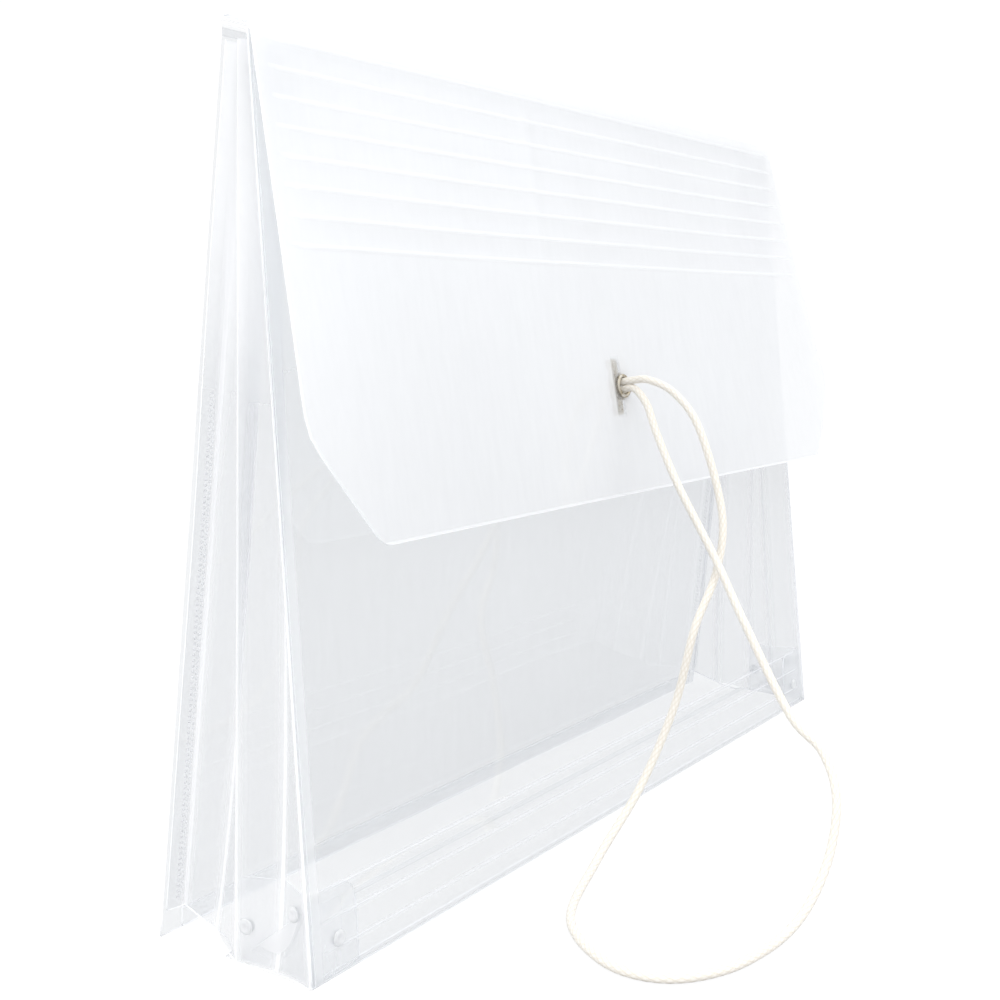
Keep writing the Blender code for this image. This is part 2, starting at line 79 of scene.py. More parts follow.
CHAMFER_HEIGHT = 0.031
EYELET_DROP = 0.105
CRIMP_BACK = 0.0022
CRIMP_SIZE = (0.0045, 0.0028, 0.020)
SCORE_PITCH = 0.008
SCORE_MARGIN = 0.008
FLAP_SCORES = [0.0055 + SCORE_PITCH * line for line in range(8)]
FRONT_SCORES = [SCORE_PITCH * (line + 1) for line in range(3)]
TAB_HEIGHT = 0.024
TAB_BOTTOM = 0.0012

FLOOR_Z = -0.00006  # just under the case's feet

# Elastic loop: the same route as the CAD cord's
CORD_DIAMETER = 0.0027
CORD_STRAND = 0.00142
CORD_FLOOR = 0.0016
CORD_STEP = 0.0004
CORD_ROUTE = [
    (-0.001, -0.0375, 0.1530),
    (-0.001, -0.0475, 0.1485),
    (-0.001, -0.057, 0.1365),
    (-0.002, -0.066, 0.1090),
    (-0.008, -0.067, 0.0900),
    (-0.022, -0.066, 0.0730),
    (-0.026, -0.061, 0.0480),
    (-0.037, -0.0545, 0.0230),
    (-0.060, -0.0520, 0.0060),
    (-0.092, -0.0620, 0.0016),
    (-0.109, -0.0830, 0.0016),
    (-0.108, -0.1010, 0.0016),
    (-0.092, -0.1130, 0.0016),
    (-0.064, -0.1180, 0.0030),
    (-0.047, -0.1210, 0.0150),
    (-0.036, -0.1200, 0.0310),
    (-0.027, -0.1120, 0.0420),
    (-0.024, -0.1000, 0.0510),
    (-0.019, -0.0820, 0.0770),
    (-0.013, -0.0690, 0.0950),
    (-0.009, -0.0530, 0.1180),
    (-0.005, -0.0425, 0.1350),
    (-0.002, -0.0370, 0.1445),
]

# Directions in the room of its darker end and of its soft bright patch, and their colours
DARK_END = (0.80, -0.56, -0.20)
DARK_COLOUR = (0.36, 0.36, 0.37, 1.0)
BRIGHT_END = (0.687, -0.586, 0.433)
BRIGHT_COLOUR = (1.3, 1.32, 1.35, 1.0)

# Flap: whitened rim as a share of its half width, and the spot over the crimped bar where the painted
# reflection is taken away so the bar shows through
FLAP_RIM = 0.992
SPOT_X = -0.0033
SPOT_HALF_WIDTH = 0.0026
SPOT_HALF_HEIGHT = 0.0100
SPOT_CLEARNESS = 1.8

# Front sheet: the strip whitened along each side fold
STRIP_WIDTH = 0.0055
STRIP_STEP = 0.0006

FLAP_FRAME = Matrix.Translation((0, STRIP_FRONT, HEIGHT)) @ Matrix.Rotation(-FLAP_LEAN, 4, "X")
EYELET_FRAME = (
    FLAP_FRAME @ Matrix.Translation((0, 0, -EYELET_DROP)) @ Matrix.Rotation(math.radians(-90), 4, "X")
)


# ---------------------------------------------------------------- materials


class Nodes:
    """A new material and short ways to add and join its nodes."""

    def __init__(self, name):
        self.material = bpy.data.materials.new(name)
        self.material.use_nodes = True
        self.tree = self.material.node_tree
        self.tree.nodes.clear()

    def add(self, kind, **values):
        """Adds a node; a key that names an input sets it, and any other sets a property."""
        made = self.tree.nodes.new("ShaderNode" + kind)
        for key, value in values.items():
            label = key.replace("_", " ")
            if label in made.inputs:
                made.inputs[label].default_value = value
            else:
                setattr(made, key, value)
        return made

    def join(self, source, target):
        self.tree.links.new(source, target)

    def maths(self, operation, first, second):
        """A clamped sum, product or the like of two sockets or numbers."""
        made = self.add("Math", operation=operation)
        for socket, value in zip(made.inputs, (first, second)):
            if isinstance(value, float):
                socket.default_value = value
            else:
                self.join(value, socket)
        return made.outputs[0]

    def mix(self, factor, first, second):
        made = self.add("MixShader")
        self.join(factor, made.inputs[0])
        self.join(first.outputs[0], made.inputs[1])
        self.join(second.outputs[0], made.inputs[2])
        return made

    def noise(self, scale, stretch=(1, 1, 1), detail=2.0):
        """Noise in object space, stretched along the axes."""
        place = self.add("TexCoord")
        mapping = self.add("Mapping", Scale=stretch)
        made = self.add("TexNoise", Scale=scale, Detail=detail)
        self.join(place.outputs["Object"], mapping.inputs["Vector"])
        self.join(mapping.outputs[0], made.inputs["Vector"])
        return made.outputs["Fac"]

    def spread(self, socket, low, high):
        """Maps 0.35 to 0.65, where noise mostly lies, to low to high."""
        made = self.add("MapRange")
        made.inputs["From Min"].default_value = 0.35
        made.inputs["From Max"].default_value = 0.65
        made.inputs["To Min"].default_value = low
        made.inputs["To Max"].default_value = high
        self.join(socket, made.inputs["Value"])
        return made.outputs[0]

    def bump(self, height, strength, distance):
        made = self.add("Bump", Strength=strength, Distance=distance)
        self.join(height, made.inputs["Height"])
        return made.outputs[0]

    def finish(self, shader):
        output = self.add("OutputMaterial")
        self.join(shader.outputs[0], output.inputs["Surface"])
        return self.material


def clear_sheet(name, tint, white_share, white_colour, white_crease, shine, grazing_shine):
    """Clear plastic: tinted see-through sheet with haze (on the flap mostly painted reflection), faint
    drawing streaks, scuffs and gloss.

    white_share is the white cloudy share: haze on most sheets, on the flap mostly a painted reflection
    of the bright room; white_colour is its colour, white_crease what a full crease adds to that share;
    shine is the mirrored share seen square on, and grazing_shine what it gains at a glancing view.
    """
    n = Nodes(name)
    crease = n.add("Attribute", attribute_name="crease").outputs["Fac"]
    clouds = n.spread(n.noise(14.0), -0.02, 0.02)
    streaks = n.spread(n.noise(40.0, (5, 5, 0.2)), -0.004, 0.004)
    scuffs = n.spread(n.noise(420.0, (1, 1, 0.12), 4.0), -0.006, 0.006)
    cover = n.maths("ADD", clouds, streaks)
    cover = n.maths("ADD", cover, scuffs)
    cover = n.maths("ADD", cover, white_share)
    cover = n.maths("ADD", cover, n.maths("MULTIPLY", crease, white_crease))
    cover = n.maths("MAXIMUM", n.maths("MINIMUM", cover, 0.97), 0.0)
    clear = n.add("BsdfTransparent", Color=(*tint, 1.0))
    lit = n.add("BsdfPrincipled", Base_Color=(*white_colour, 1.0), Roughness=0.5)
    n.join(n.bump(n.noise(900.0, (1, 1, 1), 3.0), 0.15, 0.0001), lit.inputs["Normal"])
    glow = n.add("BsdfTranslucent", Color=(*white_colour, 1.0))
    white_part = n.add("MixShader", Fac=0.45)
    n.join(lit.outputs[0], white_part.inputs[1])
    n.join(glow.outputs[0], white_part.inputs[2])
    body = n.mix(cover, clear, white_part)
    facing = n.add("LayerWeight", Blend=0.5).outputs["Facing"]
    grazing = n.maths("POWER", facing, 5.0)
    mirrored = n.maths("ADD", n.maths("MULTIPLY", grazing, grazing_shine), shine)
    gloss = n.add("BsdfPrincipled", Base_Color=(0.97, 0.98, 1.0, 1.0), Metallic=1.0)
    n.join(n.spread(n.noise(35.0), 0.03, 0.07), gloss.inputs["Roughness"])
    ripple = n.bump(n.noise(45.0, (1, 1, 0.4)), 0.03, 0.001)
    n.join(ripple, gloss.inputs["Normal"])
    return n.finish(n.mix(mirrored, body, gloss))


def cut_edge(name, colour, white_share):
    """The bright cut edge of a clear sheet."""
    n = Nodes(name)
    cover = n.spread(n.noise(300.0, (1, 1, 1), 3.0), white_share - 0.15, white_share)
    clear = n.add("BsdfTransparent", Color=(0.95, 0.96, 0.98, 1.0))
    white_part = n.add("BsdfPrincipled", Base_Color=(*colour, 1.0), Roughness=0.3)
    n.join(n.bump(n.noise(1500.0), 0.3, 0.0001), white_part.inputs["Normal"])
    return n.finish(n.mix(cover, clear, white_part))


def plated_metal():
    """Nickel plate: warm grey metal with fine rubbing marks and duller patches."""
    n = Nodes("nickel_plate")
    metal = n.add("BsdfPrincipled", Metallic=1.0)
    tone = n.add("ValToRGB")
    tone.color_ramp.elements[0].color = (0.44, 0.37, 0.25, 1.0)
    tone.color_ramp.elements[1].color = (0.68, 0.64, 0.56, 1.0)
    tone.color_ramp.elements[0].position = 0.35
    tone.color_ramp.elements[1].position = 0.62
    n.join(n.noise(500.0, (1, 1, 1), 3.0), tone.inputs["Fac"])
    n.join(tone.outputs["Color"], metal.inputs["Base Color"])
    n.join(n.spread(n.noise(900.0, (1, 1, 0.2), 4.0), 0.14, 0.30), metal.inputs["Roughness"])
    n.join(n.bump(n.noise(2500.0, (1, 1, 0.1)), 0.15, 0.0001), metal.inputs["Normal"])
    return n.finish(metal)


def braided_elastic():
    """Off-white braid: shade in the grooves between the plaits, fine thread and a soft sheen."""
    n = Nodes("braided_elastic")
    groove = n.add("Attribute", attribute_name="groove").outputs["Fac"]
    thread = n.noise(6000.0, (1, 1, 1), 2.0)
    depth = n.maths("ADD", groove, n.spread(thread, -0.10, 0.10))
    tone = n.add("ValToRGB")
    tone.color_ramp.elements[0].color = (0.81, 0.785, 0.735, 1.0)
    tone.color_ramp.elements[1].color = (0.66, 0.61, 0.52, 1.0)
    n.join(depth, tone.inputs["Fac"])
    cloth = n.add("BsdfPrincipled", Roughness=0.75, Sheen_Weight=0.4, Sheen_Roughness=0.4)
    n.join(tone.outputs["Color"], cloth.inputs["Base Color"])
    n.join(n.bump(thread, 0.35, 0.00008), cloth.inputs["Normal"])
    return n.finish(cloth)


BODY = clear_sheet(
    "clear_body_sheet",
    tint=(0.868, 0.876, 0.884),
    white_share=0.04,
    white_colour=(0.90, 0.915, 0.93),
    white_crease=0.55,
    shine=0.10,
    grazing_shine=0.9,
)
BOTTOM = clear_sheet(
    "clear_bottom_sheet",
    tint=(0.985, 0.987, 0.989),
    white_share=0.03,
    white_colour=(0.97, 0.975, 0.98),
    white_crease=0.65,
    shine=0.03,
    grazing_shine=0.15,
)
SIDE = clear_sheet(
    "clear_side_sheet",
    tint=(0.905, 0.91, 0.918),
    white_share=0.08,
    white_colour=(0.99, 0.99, 0.99),
    white_crease=0.80,
    shine=0.05,
    grazing_shine=0.10,
)
# The flap's large white share and its white colour are a painted reflection of the bright room (glare)
# over clear plastic.
FLAP = clear_sheet(
    "clear_flap_sheet",
    tint=(0.87, 0.875, 0.88),
    white_share=0.76,
    white_colour=(0.925, 0.93, 0.935),
    white_crease=0.30,
    shine=0.10,
    grazing_shine=0.3,
)
TAB = clear_sheet(
    "clear_tab_sheet",
    tint=(0.985, 0.985, 0.985),
    white_share=0.35,
    white_colour=(0.98, 0.98, 0.98),
    white_crease=0.65,
    shine=0.05,
    grazing_shine=0.2,
)
RIVET = clear_sheet(
    "clear_rivet_plastic",
    tint=(0.96, 0.965, 0.965),
    white_share=0.40,
    white_colour=(0.98, 0.98, 0.98),
    white_crease=0.50,
    shine=0.10,
    grazing_shine=0.5,
)
EDGE = cut_edge("clear_cut_edge", (0.96, 0.97, 0.98), 0.85)
METAL = plated_metal()
ELASTIC = braided_elastic()


# ---------------------------------------------------------------- shapes


def smoothstep(low, high, value):
    t = min(1.0, max(0.0, (value - low) / (high - low)))
    return t * t * (3 - 2 * t)


def spaced(low, high, step):
    """Even numbers from low to high, no further than step apart."""
    count = max(1, math.ceil((high - low) / step))
    return [low + (high - low) * index / count for index in range(count + 1)]


def back_y(z):
    """The back panel's outer face at a height."""
    return DEPTH / 2 + (BACK_TOP_Y - DEPTH / 2) * z / HEIGHT


def front_y(z):
    """The front panel's outer face at a height."""
    return -DEPTH / 2 + (FRONT_TOP_Y + DEPTH / 2) * z / HEIGHT


def new_object(name, mesh, materials):
    obj = bpy.data.objects.new(name, mesh)
    bpy.context.scene.collection.objects.link(obj)
    for material in materials:
        mesh.materials.append(material)
    return obj


def mesh_from(name, bm):
    mesh = bpy.data.meshes.new(name)
    bm.to_mesh(mesh)
    bm.free()
    return mesh


def add_cut_edge(bm, layer, thickness):
    """Gives the sheet its thickness where it shows: a narrow face all along its open edge."""
    bm.normal_update()
    border = [edge for edge in bm.edges if edge.is_boundary]
    twins = {}
    for vert in {vert for edge in border for vert in edge.verts}:
        twins[vert] = bm.verts.new(vert.co - vert.normal * thickness)
        twins[vert][layer] = 1.0
    for edge in border:
        edge.smooth = False
        loop = edge.link_loops[0]
        start, end = loop.link_loop_next.vert, loop.vert
        face = bm.faces.new((start, end, twins[end], twins[start]))
        face.material_index = 1
        face.smooth = True


def grid_sheet(name, rows, creases, material, thickness):
    """A smooth sheet through rows of points, with how creased each point is, and a cut edge."""
    bm = bmesh.new()
    layer = bm.verts.layers.float.new("crease")
    grid = []
    for row, amounts in zip(rows, creases):
        verts = [bm.verts.new(point) for point in row]
        for vert, amount in zip(verts, amounts):
            vert[layer] = amount
        grid.append(verts)
    for low, high in zip(grid, grid[1:]):
        for left in range(len(low) - 1):
            face = bm.faces.new((low[left], low[left + 1], high[left + 1], high[left]))
            face.smooth = True
    add_cut_edge(bm, layer, thickness)
    return new_object(name, mesh_from(name, bm), [material, EDGE])


def outline_sheet(name, points, crease, material, thickness):
    """A flat sheet inside an outline, with a cut edge."""
    bm = bmesh.new()
    layer = bm.verts.layers.float.new("crease")
    verts = [bm.verts.new(point) for point in points]
    for vert in verts:
        vert[layer] = crease
    bm.faces.new(verts)
    bmesh.ops.triangulate(bm, faces=bm.faces[:])
    add_cut_edge(bm, layer, thickness)
    return new_object(name, mesh_from(name, bm), [material, EDGE])


def round_corners(points, radius, steps=5):
    """Rounds each inner corner of a line of points, and says which points lie on a corner."""
    line, on_fold = [points[0]], [0.0]
    for before, corner, after in zip(points, points[1:], points[2:]):
        back, ahead = before - corner, after - corner
        reach = min(radius, 0.4 * back.length, 0.4 * ahead.length)
        start, end = corner + back.normalized() * reach, corner + ahead.normalized() * reach
        for step in range(steps + 1):
            t = step / steps
            line.append(start * (1 - t) ** 2 + corner * 2 * t * (1 - t) + end * t * t)
            on_fold.append(0.35 if step in (0, steps) else 1.0)
    return line + [points[-1]], on_fold + [0.0]


def subdivide(line, on_fold, count):
    """Puts count extra points in each straight run between two folds."""
    points, folds = [line[0]], [on_fold[0]]
    for index in range(1, len(line)):
        straight = on_fold[index] < 1.0 and on_fold[index - 1] < 1.0
        if straight:
            for step in range(1, count + 1):
                points.append(line[index - 1].lerp(line[index], step / (count + 1)))
                folds.append(0.0)
        points.append(line[index])
        folds.append(on_fold[index])
    return points, folds


def wave(x, z, size, seed):
    """A slow swell over a sheet that isn't quite flat."""
    return size * noise.noise(Vector((x * 14 + seed, z * 9, seed * 0.7)))


def belongs(obj, body, slot, *nodes):
    """Rides on a body and stands for CAD nodes; slot is not used."""
    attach(obj, body)
    if nodes:
        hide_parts(*nodes)
    return obj


# ---------------------------------------------------------------- camera, light and floor


def make_camera():
    data = bpy.data.cameras.new("camera")
    data.lens = 48.69
    data.sensor_width = 36.0
    data.shift_y = -0.13
    camera = bpy.data.objects.new("camera", data)
    camera.location = (-0.4184, -0.2649, 0.1738)
    camera.rotation_euler = (math.radians(90 - 2.094), 0.0, math.radians(-55.106))
    bpy.context.scene.collection.objects.link(camera)
    bpy.context.scene.camera = camera


def room_patch(tree, place, colour, direction, start, full, patch):
    """The room's colour with a soft patch of another colour, by how well a ray fits a direction."""
    towards = tree.nodes.new("ShaderNodeVectorMath")
    towards.operation = "DOT_PRODUCT"
    towards.inputs[1].default_value = direction
    share = tree.nodes.new("ShaderNodeMapRange")
    share.interpolation_type = "SMOOTHSTEP"
    share.inputs["From Min"].default_value = start
    share.inputs["From Max"].default_value = full
    mixed = tree.nodes.new("ShaderNodeMixRGB")
    mixed.inputs["Color2"].default_value = patch
    tree.links.new(place.outputs["Generated"], towards.inputs[0])
    tree.links.new(towards.outputs["Value"], share.inputs["Value"])
    tree.links.new(share.outputs[0], mixed.inputs["Fac"])
    tree.links.new(colour, mixed.inputs["Color1"])
    return mixed.outputs[0]


def make_world():
    """White behind the case; its gloss mirrors a bright room with a darker end and a bright patch."""
    world = bpy.data.worlds.new("studio")
    bpy.context.scene.world = world
    world.use_nodes = True
    tree = world.node_tree
    tree.nodes.clear()
    place = tree.nodes.new("ShaderNodeTexCoord")
    split = tree.nodes.new("ShaderNodeSeparateXYZ")
    height = tree.nodes.new("ShaderNodeValToRGB")
    height.color_ramp.elements[0].color = (0.78, 0.78, 0.79, 1.0)
    height.color_ramp.elements[1].position = 0.75
    height.color_ramp.elements[1].color = (1.25, 1.26, 1.27, 1.0)
    darker = room_patch(tree, place, height.outputs["Color"], DARK_END, 0.93, 0.985, DARK_COLOUR)
    lighter = room_patch(tree, place, darker, BRIGHT_END, 0.95, 1.0, BRIGHT_COLOUR)
    room = tree.nodes.new("ShaderNodeBackground")
    white = tree.nodes.new("ShaderNodeBackground")
    white.inputs["Color"].default_value = (1.0, 1.0, 1.0, 1.0)
    white.inputs["Strength"].default_value = 1.04
    path = tree.nodes.new("ShaderNodeLightPath")
    mix = tree.nodes.new("ShaderNodeMixShader")
    output = tree.nodes.new("ShaderNodeOutputWorld")
    for source, target in (
        (place.outputs["Generated"], split.inputs[0]),
        (split.outputs["Z"], height.inputs["Fac"]),
        (lighter, room.inputs["Color"]),
        (path.outputs["Is Camera Ray"], mix.inputs[0]),
        (room.outputs[0], mix.inputs[1]),
        (white.outputs[0], mix.inputs[2]),
        (mix.outputs[0], output.inputs["Surface"]),
    ):
        tree.links.new(source, target)


def make_floor():
    """A pale floor, seen white and mirrored in the gloss as a darker one."""
    bm = bmesh.new()
    bmesh.ops.create_grid(bm, x_segments=8, y_segments=8, size=6.0)
    n = Nodes("pale_floor")
    seen = n.add("AddShader")
    pale = n.add("BsdfDiffuse", Color=(0.10, 0.10, 0.10, 1.0))
    lift = n.add("Emission", Color=(1.0, 1.0, 1.0, 1.0), Strength=0.92)
    n.join(pale.outputs[0], seen.inputs[0])
    n.join(lift.outputs[0], seen.inputs[1])
    mirrored = n.add("BsdfDiffuse", Color=(0.52, 0.52, 0.53, 1.0))
    to_camera = n.add("LightPath").outputs["Is Camera Ray"]
    pale_floor = n.finish(n.mix(to_camera, mirrored, seen))
    floor = new_object("floor", mesh_from("floor", bm), [pale_floor])
    floor.location = (0.0, 0.0, FLOOR_Z)


def area_light(name, place, target, size, power):
    data = bpy.data.lights.new(name, "AREA")
    data.shape = "RECTANGLE"
    data.size, data.size_y = size
    data.energy = power
    light = bpy.data.objects.new(name, data)
    light.location = place
    light.rotation_euler = (Vector(target) - Vector(place)).to_track_quat("-Z", "Y").to_euler()
    light.visible_glossy = False
    bpy.context.scene.collection.objects.link(light)


def make_lights():
    area_light("key_light", (-1.1, -0.7, 1.5), (0, 0, 0.1), (1.2, 1.2), 13.0)
    area_light("fill_light", (0.5, -1.9, 1.1), (0, 0, 0.12), (1.4, 1.2), 11.0)
    area_light("side_light", (-1.7, 0.5, 0.5), (0, 0, 0.12), (1.2, 1.0), 7.0)
    area_light("back_light", (0.3, 1.3, 1.1), (0, 0, 0.1), (1.4, 0.8), 8.0)


# ---------------------------------------------------------------- elastic loop


def smooth_route(points, step):
    """Evenly spaced points on the smooth curve through a list of points."""
    ends = [points[0] * 2 - points[1], *points, points[-1] * 2 - points[-2]]
    fine = []
    for a, b, c, d in zip(ends, ends[1:], ends[2:], ends[3:]):
        for part in range(40):
            t = part / 40
            curve = b * 2 + (c - a) * t + (a * 2 - b * 5 + c * 4 - d) * t**2
            curve += (b * 3 - a - c * 3 + d) * t**3
            fine.append(curve / 2)
    fine.append(points[-1])
    for point in fine:
        point.z = max(point.z, CORD_FLOOR)
    run = [0.0]
    for before, after in zip(fine, fine[1:]):
        run.append(run[-1] + (after - before).length)
    count = round(run[-1] / step)
    even, at = [], 0
    for index in range(count + 1):
        wanted = run[-1] * index / count
        while at < len(run) - 2 and run[at + 1] < wanted:
            at += 1
        share = (wanted - run[at]) / (run[at + 1] - run[at])
        even.append(fine[at].lerp(fine[at + 1], share))
    return even


def braid_mesh(name, path, radius):
    """A tube along the path, plaited: two sets of strands wind round it and cross over and under."""
    sides, strands, pitch, relief = 24, 6, 0.0060, 0.00004
    bm = bmesh.new()
    layer = bm.verts.layers.float.new("groove")
    across = Vector((1.0, 0.0, 0.0))
    rings = []
    for index, point in enumerate(path):
        along = (path[min(index + 1, len(path) - 1)] - path[max(index - 1, 0)]).normalized()
        across = (across - along * across.dot(along)).normalized()
        other = along.cross(across)
        turn = 2 * math.pi * index * CORD_STEP / pitch
        ring = []
        for side in range(sides):
            angle = 2 * math.pi * side / sides
            plait = abs(math.sin(strands * angle / 2 + turn) * math.sin(strands * angle / 2 - turn))
            out = across * math.cos(angle) + other * math.sin(angle)
            vert = bm.verts.new(point + out * (radius - relief * (1 - plait)))
            vert[layer] = (1 - plait) ** 2
            ring.append(vert)
        rings.append(ring)
    for low, high in zip(rings, rings[1:]):
        for side in range(sides):
            after = (side + 1) % sides
            face = bm.faces.new((low[side], low[after], high[after], high[side]))
            face.smooth = True
    bm.faces.new(list(reversed(rings[0])))
    bm.faces.new(rings[-1])
    return new_object(name, mesh_from(name, bm), [ELASTIC])


def make_cord():
    inside, outside = CRIMP_BACK - GAP, -0.004
    upper, lower = -EYELET_DROP + CORD_STRAND, -EYELET_DROP - CORD_STRAND
    route = [FLAP_FRAME @ Vector((0.0, y, upper)) for y in (inside, outside)]
    route += [Vector(point) for point in CORD_ROUTE]
    route += [FLAP_FRAME @ Vector((0.0, y, lower)) for y in (outside, inside)]
    path = smooth_route(route, CORD_STEP)
    cord = braid_mesh("elastic_loop", path, CORD_DIAMETER / 2)
    belongs(cord, "flap", "elastic", "elastic_cord")


# ---------------------------------------------------------------- back, bottom and front


def scored_rows(low, high, scores, step):
    """Distances down a sheet: even steps, with five close together at each score line."""
    marks = set(spaced(low, high, step))
    for score in scores:
        marks = {mark for mark in marks if abs(mark - score) > 0.0014}
        marks |= {score + offset for offset in (-0.0009, -0.00035, 0.0, 0.00035, 0.0009)}
    return sorted(marks)


def score_depth(distance, x, scores):
    """How deep a score line is pressed at a point, from 0 beside it to 1 in its middle."""
    nearest = min(abs(distance - score) for score in scores)
    across = 1 - smoothstep(0.0, 0.0008, nearest)
    along = 1 - smoothstep(HALF - SCORE_MARGIN - 0.001, HALF - SCORE_MARGIN + 0.001, abs(x))
    return across * along


def make_back():
    """The back panel, flat at its edges and slightly wavy between them."""
    rows, creases = [], []
    for z in spaced(0.0, BACK_SHEET_TOP, 0.006):
        row = []
        for x in spaced(-HALF, HALF, 0.006):
            edge = min(1.0, (HALF - abs(x)) / 0.03, (BACK_SHEET_TOP - z) / 0.03)
            row.append(Vector((x, back_y(z) + wave(x, z, 0.0006, 3) * edge, z)))
        rows.append(row)
        creases.append([0.0] * len(row))
    sheet = grid_sheet("back_sheet", rows, creases, BODY, SHEET)
    belongs(sheet, "back", "clear_body", "back_panel")
    for side in (-1, 1):
        make_weld_band(side)


def make_weld_band(side):
    """Two staggered rows of small pips, where the welding wheel joined the side to the back."""
    bm = bmesh.new()
    crease = bm.verts.layers.float.new("crease")
    pitch, low, high = 0.0016, 0.010, 0.249
    for step in range(int((high - low) / pitch)):
        for column, inset in enumerate((0.0052, 0.0067)):
            z = low + pitch * (step + 0.5 * column)
            middle = Matrix.Translation((side * (HALF - inset), back_y(z), z))
            shape = Matrix.Diagonal((0.00062, 0.00030, 0.00050, 1.0))
            bmesh.ops.create_icosphere(bm, subdivisions=1, radius=1.0, matrix=middle @ shape)
    for vert in bm.verts:
        vert[crease] = 0.4
    for face in bm.faces:
        face.smooth = True
    name = "left_weld_band" if side < 0 else "right_weld_band"
    belongs(new_object(name, mesh_from(name, bm), [TAB]), "back", "clear_fold")


def make_bottom():
    """One sheet: flat bottom, riser up to the back panel, and the flange turned down and welded."""
    inner = back_y(RISER_TOP) - 2 * SHEET
    profile = [
        Vector((0.0, -DEPTH / 2 + SHEET, 0.0022)),
        Vector((0.0, -DEPTH / 2 + SHEET, SHEET)),
        Vector((0.0, BOTTOM_BACK, SHEET)),
        Vector((0.0, inner, RISER_TOP + SHEET)),
        Vector((0.0, inner + 0.0004, 0.0010)),
    ]
    line, folds = subdivide(*round_corners(profile, 0.0012), 3)
    rows, creases = [], []
    for x in spaced(-HALF + 0.0004, HALF - 0.0004, 0.006):
        inset = smoothstep(HALF - FLANGE - 0.001, HALF - FLANGE + 0.001, abs(x))
        row = []
        for point in line:
            behind = smoothstep(BOTTOM_BACK, BOTTOM_BACK + 0.002, point.y)
            row.append(Vector((x - math.copysign(FLANGE * 0.9 * inset * behind, x), point.y, point.z)))
        rows.append(row)
        creases.append([fold * 0.8 for fold in folds])
    sheet = grid_sheet("bottom_sheet", rows, creases, BOTTOM, SHEET)
    belongs(sheet, "back", "clear_body", "bottom_panel", "bottom_riser", "bottom_weld_flange")


def make_front():
    """The front panel, whitened at its score lines, over its tabs and where the sides pinch it."""
    rows, creases = [], []
    lean = math.atan2(DEPTH / 2 + FRONT_TOP_Y, HEIGHT)
    normal = Vector((0.0, -math.cos(lean), math.sin(lean)))
    strip = HALF - STRIP_WIDTH
    columns = set(spaced(-HALF + 0.0009, HALF - 0.0009, 0.005))
    columns |= {-strip - STRIP_STEP, -strip, strip, strip + STRIP_STEP}
    for z in scored_rows(0.0006, FRONT_TOP, FRONT_SCORES, 0.005):
        row, amounts = [], []
        for x in sorted(columns):
            edge = min(1.0, (HALF - abs(x)) / 0.04) * min(1.0, z / 0.03)
            depth = score_depth(z, x, FRONT_SCORES)
            lift = wave(x, z, 0.0003, 8) * edge + 0.00015 * depth
            row.append(Vector((x, front_y(z), z)) + normal * lift)
            over_tab = smoothstep(HALF - 0.022, HALF - 0.018, abs(x))
            pressed = 0.4 * (1 - smoothstep(0.022, 0.026, z)) * over_tab
            folded = 0.6 if abs(x) > strip else 0.0
            near_side = smoothstep(HALF - 0.020, HALF - 0.010, abs(x))
            pinched = 0.8 * smoothstep(0.12, 0.20, z) * near_side
            amounts.append(max(depth, pressed, folded, pinched))
        rows.append(row)
        creases.append(amounts)
    sheet = grid_sheet("front_sheet", rows, creases, BODY, SHEET)
    belongs(sheet, "front", "clear_body", "front_panel")


# ---------------------------------------------------------------- accordion sides


def fold_point(side, fold, z):
    """The side's fold line 0 (rear) to 4 (front) at a height; the valleys run deeper near the top."""
    rear = back_y(z) - 2 * (SHEET + GAP)
    front = front_y(z) + GAP
    slot = (rear - front) / 4
    valley = math.sqrt(FOLD_WIDTH**2 - slot**2)
    inset = (FLANGE, FLANGE / 2 + valley, SIDE_EDGE, valley, SIDE_EDGE)[fold]
    return Vector((side * (HALF - inset), rear - fold * slot, z))


def side_bottom(y):
    """The lowest the side reaches: just over the bottom, and over the riser behind it."""
    rise = max(0.0, y - BOTTOM_BACK) / (DEPTH / 2 - BOTTOM_BACK)
    return 2 * SHEET + RISER_TOP * rise


def side_line(side, share):
    """The folded side at a share of its height, from its welded flange to the front panel."""
    base = [Vector((side * (HALF - 0.0006), back_y(0.0) - 2 * SHEET, 0.0))]
    base += [fold_point(side, fold, 0.0) for fold in range(5)]
    base.append(Vector((side * (HALF - 0.0010), front_y(0.0), 0.0)))
    line = []
    for fold, point in enumerate(base):
        low = side_bottom(point.y)
        z = low + (SIDE_TOP - low) * share
        if fold == 0:
            line.append(Vector((point.x, back_y(z) - SHEET - GAP, z)))
        elif fold == len(base) - 1:
            line.append(Vector((side * (HALF - 0.0018), front_y(z) + 0.0001, z)))
        else:
            line.append(fold_point(side, fold - 1, z))
    return line


def make_side(side):
    """One side from flange to front panel: white at its folds and towards its narrow top."""
    rows, creases = [], []
    for index in range(49):
        share = (index / 48) ** 1.3
        line, folds = round_corners(side_line(side, share), 0.0009)
        points, folds = subdivide(line, folds, 3)
        row = []
        for point, fold in zip(points, folds):
            bow = wave(point.y * 2, point.z, 0.0007, 5 + side) if fold == 0.0 else 0.0
            row.append(point + Vector((bow, 0.0, 0.0)))
        rows.append(row if side > 0 else list(reversed(row)))
        whitened = smoothstep(0.12, 0.225, share * SIDE_TOP)
        amounts = [min(1.0, fold * 0.9 + whitened) for fold in folds]
        creases.append(amounts if side > 0 else list(reversed(amounts)))
    name = "left" if side < 0 else "right"
    sheet = grid_sheet(f"{name}_side_sheet", rows, creases, SIDE, SIDE_SHEET)
    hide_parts(f"{name}_weld_flange", *(f"{name}_side_panel_{panel}" for panel in (1, 2, 3, 4)))
    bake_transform(sheet)


